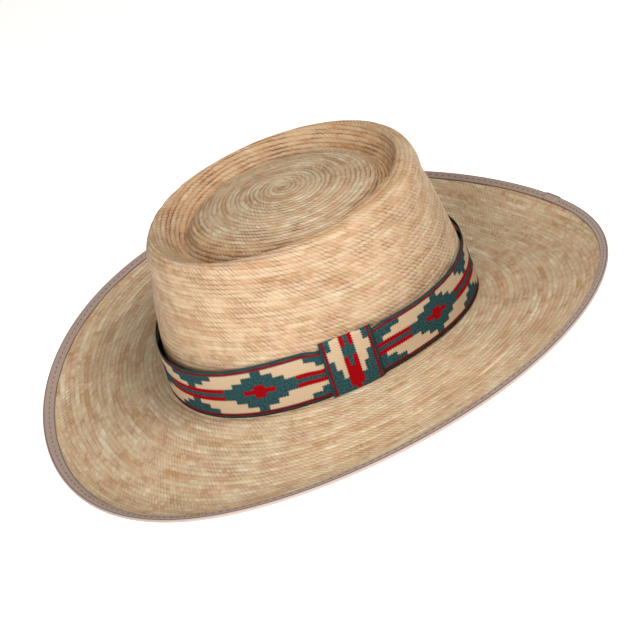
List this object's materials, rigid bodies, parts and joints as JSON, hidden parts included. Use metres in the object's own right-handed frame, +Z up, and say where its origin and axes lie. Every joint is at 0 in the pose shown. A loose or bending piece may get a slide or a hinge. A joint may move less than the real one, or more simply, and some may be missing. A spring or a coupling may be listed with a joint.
{
  "type": "gambler hat",
  "caption": "Palm-straw gambler hat: oval telescope crown with a raised button, wide brim curled up at its edge, woven ribbon band with a keeper, and a ribbon-bound brim edge.",
  "frame": {"origin": "on the surface that the hat rests on, under the middle of the brim", "axes": "+Z up through the crown, +Y towards the back of the hat, +X towards the wearer's left, where the keeper is"},
  "size_m": [0.337, 0.3718, 0.1142],
  "materials": {
    "palm_straw": "natural palm braid in fine rows, dry and matte with a faint sheen along each strand",
    "woven_ribbon": "matte jacquard ribbon with teal stepped diamonds, red centres and stripes on a cream ground",
    "binding_ribbon": "matte ribbed ribbon, grey-brown, with one row of small dark stitches"
  },
  "bodies": {
    "root": {"palm_body": "palm_straw", "hatband": "woven_ribbon", "band_keeper": "woven_ribbon", "edge_binding": "binding_ribbon"}
  },
  "joints": []
}
